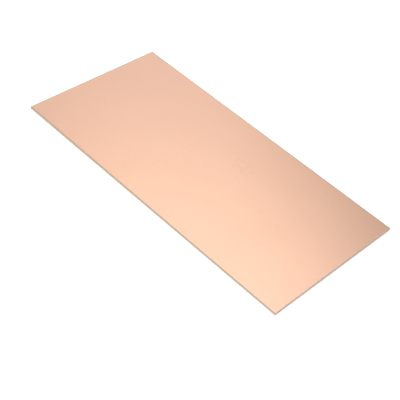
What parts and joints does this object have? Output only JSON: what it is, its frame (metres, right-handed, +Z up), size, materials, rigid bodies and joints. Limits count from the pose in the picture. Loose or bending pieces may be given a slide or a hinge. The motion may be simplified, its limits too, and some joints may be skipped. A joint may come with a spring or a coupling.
{
  "type": "copper clad board",
  "caption": "Flat rectangular sheet of glass-cloth laminate with copper foil bonded over its whole upper face and sheared edges, raw stock for circuit boards.",
  "frame": {"origin": "centre of the underside, which rests on the floor", "axes": "+X along the board's length, +Y across its width, +Z up out of the copper face"},
  "size_m": [0.2, 0.1, 0.0015],
  "materials": {
    "laminate": "satin",
    "copper": "satin"
  },
  "bodies": {
    "root": {"laminate": "laminate", "copper_foil": "copper"}
  },
  "joints": []
}
